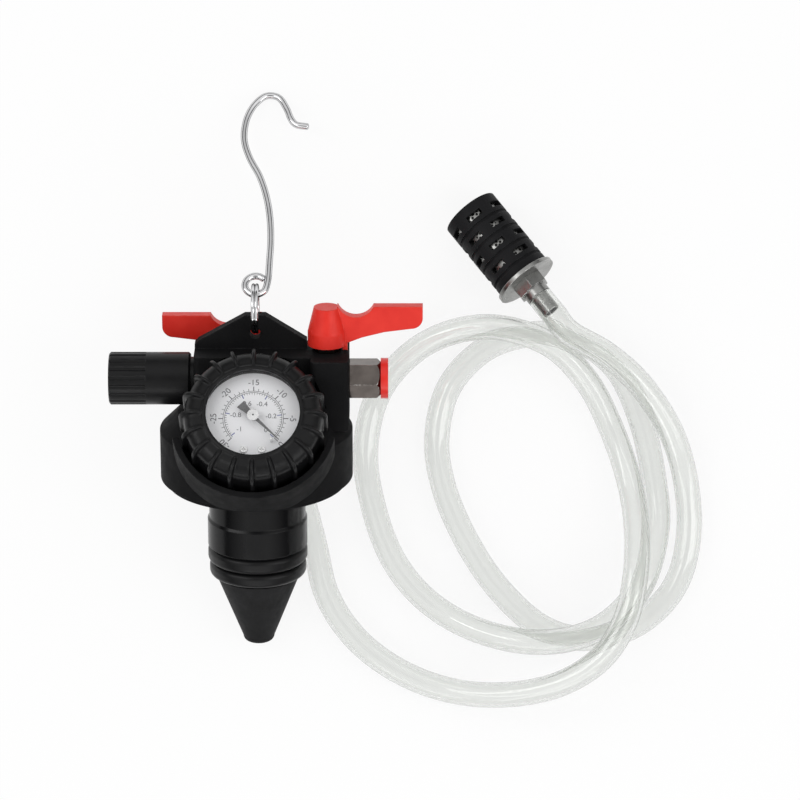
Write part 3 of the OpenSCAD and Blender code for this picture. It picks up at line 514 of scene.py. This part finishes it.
# Hose, from the barb under the housing to the strainer's fitting

strainer_axis = Vector(
    (
        STRAINER_AIM[0] * math.cos(STRAINER_LEAN),
        STRAINER_AIM[1] * math.cos(STRAINER_LEAN),
        math.sin(STRAINER_LEAN),
    )
)
cage_end = Vector((*STRAINER_FOOT, CAGE_R * math.cos(STRAINER_LEAN)))
hose_last = cage_end + HOSE_STOP * strainer_axis
hose_points = [Vector((*BARB_START, HOSE_LIE))]
hose_points += [Vector((x, y, HOSE_LIE + lift)) for x, y, lift in HOSE_PATH]
hose_points += [hose_last + k * NIPPLE_LEAD * strainer_axis for k in (2, 1, 0)]
hose_line = [(p - Vector((0, FLAT_Y, 0))) * MM for p in spline(hose_points, HOSE_STEPS)]
hose = pipe("clear_hose", hose_line, HOSE_R * MM, HOSE_BORE_R * MM, HOSE_SIDES, UP)
hose.data.materials.append(PVC)
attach(hose, "housing")
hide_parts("hose")


# Hook and split ring

eye_angles = [math.radians(a) for a in EYE_ANGLES]
eye_turn = [(EYE_MID * math.cos(a), EYE_MID * math.sin(a)) for a in eye_angles]
hook_points = [Vector((x, y + EYE_OUT, 0)) for x, y in eye_turn + HOOK_PATH]
hook_line = [(HOOK_FRAME @ p) * MM for p in spline(hook_points, HOOK_STEPS)]
hook = rod("hook_wire", hook_line, HOOK_WIRE_R * MM, HOOK_SIDES, HOOK_FRAME.to_3x3() @ UP, HOOK_NOSE)
hook.data.materials.append(CHROME)
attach(hook, "hook")
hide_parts("hook")


def split_ring_line():
    """Two turns of wire side by side, crossing over where the real ring is split."""
    points = []
    for k in range(RING_TURNS * RING_TURN_STEPS + 1):
        turn = k / RING_TURN_STEPS
        ease = min(max((turn - CROSSING_START) / CROSSING_SPAN, 0.0), 1.0)
        ease = ease * ease * (3 - 2 * ease)
        side = (2 * ease - 1) * RING_WIRE_R * RING_LAY
        a = 2 * math.pi * turn * RING_CLOSE + math.radians(RING_START)
        points.append(RING_WORLD + Vector((side, RING_R * math.cos(a), RING_R * math.sin(a))))
    return [p * MM for p in points]


ring = rod("split_ring_wire", split_ring_line(), RING_WIRE_R * MM, RING_SIDES, ACROSS, RING_NOSE)
ring.data.materials.append(CHROME)
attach(ring, "ring")
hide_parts("split_ring")


# Rubber boot of the gauge. Each point of its section is the radius, the distance in front of the dial and
# the rib's height. A rib's shape is the distance from its middle, at radius RIB_AT, and the share of that
# height.

BOOT_RIBS = 20
BOOT_SECTION = [
    (22.4, 6.95, 0), (22.4, 8.0, 0), (22.55, 8.4, 0), (22.9, 8.6, 0), (23.8, 8.6, 0), (24.2, 8.4, 0),
    (24.6, 8.0, 0.3), (25.1, 7.75, 1.0), (26.2, 7.7, 1.4), (27.8, 7.6, 1.6), (29.0, 7.25, 1.8),
    (30.3, 6.6, 2.0), (31.5, 5.7, 2.2), (32.4, 4.7, 2.35), (33.0, 3.4, 2.4), (33.2, 1.8, 2.4),
    (33.2, -2, 2.4), (33.2, -8, 2.4), (33.2, -12.4, 2.3), (33.2, -13.1, 1.2), (33.1, -13.6, 0),
    (32.6, -14, 0), (19, -14, 0), (19, -12.15, 0), (26.15, -12.15, 0), (26.15, 6.95, 0),
]
RIB_SHAPE = [(0, 1), (0.4, 0.97), (0.7, 0.85), (0.9, 0.62), (1.05, 0.3), (1.25, 0.05), (1.6, 0), (3.1, 0)]
RIB_AT = 30


def on_dial(x, y, z):
    """Place in the frame, in metres, of a point across, up and in front of the dial's middle."""
    return (GAUGE @ Vector((x, y, z))) * MM


def boot_piece():
    """Ring of the boot's section, with its rounded ribs spread evenly around it."""
    pitch = 2 * math.pi / BOOT_RIBS
    half = [(s / RIB_AT, share) for s, share in RIB_SHAPE]
    columns = []
    for i in range(BOOT_RIBS):
        middle = math.pi / 2 + i * pitch
        columns += [(middle - a, share) for a, share in reversed(half)]
        columns += [(middle + a, share) for a, share in half[1:]]
        columns.append((middle + pitch / 2, 0))
    count = len(BOOT_SECTION)
    verts = []
    for angle, share in columns:
        for k, (r, z, rib) in enumerate(BOOT_SECTION):
            before, after = BOOT_SECTION[k - 1], BOOT_SECTION[(k + 1) % count]
            along = Vector((after[0] - before[0], after[1] - before[1])).normalized()
            out_r = r - along.y * rib * share
            out_z = z + along.x * rib * share
            verts.append(on_dial(out_r * math.cos(angle), out_r * math.sin(angle), out_z))
    faces = []
    for i in range(len(columns)):
        here = i * count
        there = (i + 1) % len(columns) * count
        for k in range(count):
            n = (k + 1) % count
            faces.append((here + k, here + n, there + n, there + k))
    return new_piece("boot_rubber", verts, faces)


boot = boot_piece()
boot.data.materials.append(BOOT)
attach(boot, "housing")
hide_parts("gauge_boot")


# Dial print, in millimetres and degrees. The outer scale is in inches of mercury, the inner one in bar.

PRINT_LOW = 0.01
PRINT_TOP = 0.06
LETTER_WELD = 0.0005
LETTER_STEPS = 4
STRIP_SIDES = 4
SCALE_START = -45
SCALE_SPAN = 270
SCALE_INCHES = 30
INCHES_PER_BAR = 29.53
ARC_RADII = (13.7, 14.45)
ARC_WIDTH = 0.22
ARC_STEPS = 90
INCH_FOOT_R = 14.5
INCH_MAJOR = 5
INCH_MAJOR_TOP_R = 16.8
INCH_MAJOR_WIDTH = 0.38
INCH_TOP_R = 15.8
INCH_WIDTH = 0.24
INCH_LABEL_R = 18.9
INCH_LABEL_SIZE = 4.2
BAR_STEPS = 50
BAR_STEP = 0.02
BAR_BLUE = 10
BAR_LONG = 5
BAR_TOP_R = 13.7
BAR_BLUE_FOOT_R = 11.5
BAR_BLUE_WIDTH = 0.44
BAR_LONG_FOOT_R = 12.3
BAR_FOOT_R = 12.7
BAR_WIDTH = 0.2
BAR_LABELS = ("0", "-0.2", "-0.4", "-0.6", "-0.8", "-1")
BAR_LABEL_STEP = 0.2
BAR_LABEL_R = 8.6
BAR_LABEL_SIZE = 3.5


def scale_angle(inches):
    """Angle of a reading on the dial, in degrees."""
    return SCALE_START + SCALE_SPAN * inches / SCALE_INCHES


def tick(angle, r0, r1, width):
    """Stations of one radial mark: its right and left edge at both ends."""
    a = math.radians(angle)
    ux, uy = math.cos(a), math.sin(a)
    px, py = -uy * width / 2, ux * width / 2
    return [((ux * r - px, uy * r - py), (ux * r + px, uy * r + py)) for r in (r0, r1)]


def arc(r):
    """Stations of one arc along the whole scale: its outer and inner edge at every step."""
    stations = []
    for k in range(ARC_STEPS + 1):
        a = math.radians(SCALE_START + SCALE_SPAN * k / ARC_STEPS)
        edges = (r + ARC_WIDTH / 2, r - ARC_WIDTH / 2)
        stations.append([(edge * math.cos(a), edge * math.sin(a)) for edge in edges])
    return stations


def print_strips(name, strips, mat):
    """Thin raised print on the dial: a closed bar along the stations of each strip."""
    verts = []
    faces = []
    for stations in strips:
        first = len(verts)
        for right, left in stations:
            verts += [on_dial(*right, PRINT_LOW), on_dial(*left, PRINT_LOW)]
            verts += [on_dial(*left, PRINT_TOP), on_dial(*right, PRINT_TOP)]
        last = len(verts) - STRIP_SIDES
        faces += skin(len(stations), STRIP_SIDES, first, True)
        faces.append(tuple(first + k for k in reversed(range(STRIP_SIDES))))
        faces.append(tuple(last + k for k in range(STRIP_SIDES)))
    obj = new_piece(name, verts, faces, smooth=False)
    obj.data.materials.append(mat)
    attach(obj, "housing")


def print_number(name, text, r, angle, size, turn):
    """Thin raised number on the dial, turned about its middle."""
    curve = bpy.data.curves.new(name, "FONT")
    curve.body = text
    curve.size = size
    curve.align_x = "CENTER"
    curve.align_y = "CENTER"
    curve.resolution_u = LETTER_STEPS
    curve.extrude = (PRINT_TOP - PRINT_LOW) / 2
    source = new_object(name + "_source", curve)
    bpy.context.view_layer.update()
    mesh = bpy.data.meshes.new_from_object(source.evaluated_get(bpy.context.evaluated_depsgraph_get()))
    bpy.data.objects.remove(source)
    letters = bmesh.new()
    letters.from_mesh(mesh)
    bmesh.ops.remove_doubles(letters, verts=letters.verts, dist=LETTER_WELD)
    letters.to_mesh(mesh)
    letters.free()
    a = math.radians(angle)
    place = GAUGE @ Matrix.Translation((r * math.cos(a), r * math.sin(a), (PRINT_TOP + PRINT_LOW) / 2))
    place = place @ Matrix.Rotation(math.radians(turn), 4, "Z")
    mesh.transform(Matrix.Scale(MM, 4) @ place)
    mesh.name = name
    mesh.materials.clear()
    mesh.materials.append(PALE_INK)
    obj = new_object(name, mesh)
    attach(obj, "housing")


inch_marks = []
for value in range(SCALE_INCHES + 1):
    if value % INCH_MAJOR == 0:
        mark = tick(scale_angle(value), INCH_FOOT_R, INCH_MAJOR_TOP_R, INCH_MAJOR_WIDTH)
    else:
        mark = tick(scale_angle(value), INCH_FOOT_R, INCH_TOP_R, INCH_WIDTH)
    inch_marks.append(mark)
for r in ARC_RADII:
    inch_marks.append(arc(r))
bar_marks = []
blue_marks = []
for step in range(BAR_STEPS + 1):
    angle = scale_angle(step * BAR_STEP * INCHES_PER_BAR)
    if step % BAR_BLUE == 0:
        blue_marks.append(tick(angle, BAR_BLUE_FOOT_R, BAR_TOP_R, BAR_BLUE_WIDTH))
    else:
        foot = BAR_FOOT_R if step % BAR_LONG else BAR_LONG_FOOT_R
        bar_marks.append(tick(angle, foot, BAR_TOP_R, BAR_WIDTH))
print_strips("dial_scale_outer", inch_marks, INK)
print_strips("dial_scale_inner", bar_marks, INK)
print_strips("dial_scale_marks", blue_marks, BLUE_INK)
for value in range(0, SCALE_INCHES + 1, INCH_MAJOR):
    angle = scale_angle(value)
    label = "0" if value == 0 else f"-{value}"
    print_number(f"dial_outer_{value}", label, INCH_LABEL_R, angle, INCH_LABEL_SIZE, angle - 90)
for step, label in enumerate(BAR_LABELS):
    angle = scale_angle(step * BAR_LABEL_STEP * INCHES_PER_BAR)
    print_number(f"dial_inner_{step}", label, BAR_LABEL_R, angle, BAR_LABEL_SIZE, 0)


# Dark end of the needle's spindle, a little proud of its hub

PIN_R = 0.5
PIN_SPAN = (-0.3, 0.05)
PIN_SIDES = 12
PIN_NOSE = 2
hub_top = max((GAUGE.inverted() @ (v.co / MM)).z for v in NODES["needle_spindle"].data.vertices)
pin_line = [on_dial(0, 0, hub_top + z) for z in PIN_SPAN]
pin = rod("spindle_end", pin_line, PIN_R * MM, PIN_SIDES, GAUGE.to_3x3() @ ALONG, PIN_NOSE)
pin.data.materials.append(NEEDLE)
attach(pin, "needle")


# Table, in metres: its paint, and the share of even white that the camera, mirrors and plastic see

TABLE_HALF = 4
TABLE_DROP = 0.0002
TABLE_PAINT = (0.93, 0.93, 0.93, 1)
TABLE_ROUGH = 0.9
TABLE_WHITE_SHARE = 0.87


def table_material():
    """Matt paint for the light it gives back, and mostly even white where it is seen."""
    mat = bpy.data.materials.new("table_white")
    mat.use_nodes = True
    tree = mat.node_tree
    shader = tree.nodes["Principled BSDF"]
    shader.inputs["Base Color"].default_value = TABLE_PAINT
    shader.inputs["Roughness"].default_value = TABLE_ROUGH
    shader.inputs["Specular IOR Level"].default_value = 0.0
    white = node_of(tree, "ShaderNodeEmission")
    ray = node_of(tree, "ShaderNodeLightPath")
    seen = combine(tree, "MAXIMUM", ray.outputs["Is Camera Ray"], ray.outputs["Is Glossy Ray"])
    seen = combine(tree, "MAXIMUM", seen, ray.outputs["Is Transmission Ray"])
    mix = node_of(tree, "ShaderNodeMixShader")
    link(tree, combine(tree, "MULTIPLY", seen, TABLE_WHITE_SHARE), mix.inputs[0])
    link(tree, shader.outputs[0], mix.inputs[1])
    link(tree, white.outputs[0], mix.inputs[2])
    link(tree, mix.outputs[0], tree.nodes["Material Output"].inputs["Surface"])
    return mat


table_corners = [(x * TABLE_HALF, y * TABLE_HALF, 0) for x, y in ((-1, -1), (1, -1), (1, 1), (-1, 1))]
table = new_piece("table", table_corners, [(0, 1, 2, 3)], smooth=False)
table.location.z = -TABLE_DROP
table.data.materials.append(table_material())


# World: its level rises above the horizon and falls again straight above, each as two heights and the
# levels there. Through clear plastic it is at least SKY_THROUGH.

SKY_RISE = (0.15, 0.60, 0.04, 0.95)
SKY_FALL = (0.93, 0.98, 1.0, 0.2)
SKY_THROUGH = 0.62
world = bpy.data.worlds.new("studio")
bpy.context.scene.world = world
world.use_nodes = True
sky = world.node_tree
height = node_of(sky, "ShaderNodeSeparateXYZ")
link(sky, node_of(sky, "ShaderNodeTexCoord").outputs["Generated"], height.inputs[0])
rise = spread(sky, height.outputs["Z"], *SKY_RISE)
fall = spread(sky, height.outputs["Z"], *SKY_FALL)
sky_ray = node_of(sky, "ShaderNodeLightPath")
through = combine(sky, "MULTIPLY", sky_ray.outputs["Is Transmission Ray"], SKY_THROUGH)
level = combine(sky, "MAXIMUM", combine(sky, "MULTIPLY", rise, fall), through)
background = sky.nodes["Background"]
background.inputs["Color"].default_value = (1, 1, 1, 1)
link(sky, level, background.inputs["Strength"])


# Lamps: name, place and size in metres, and power in watts

LAMP_AIM = Vector((0.05, 0.0, 0.03))
LAMPS = [
    ("strip_left", (-1.1, 0.5, 1.3), (0.35, 1.5), 5),
    ("strip_right", (1.2, -0.2, 1.1), (0.3, 1.5), 4),
    ("strip_low", (0.0, -1.3, 0.9), (1.5, 0.3), 4),
]
for name, place, size, power in LAMPS:
    strip = bpy.data.lights.new(name, "AREA")
    strip.shape = "RECTANGLE"
    strip.size, strip.size_y = size
    strip.energy = power
    lamp = new_object(name, strip)
    lamp.location = place
    lamp.rotation_euler = (LAMP_AIM - lamp.location).to_track_quat("-Z", "Y").to_euler()

bpy.context.scene.view_settings.view_transform = "Standard"
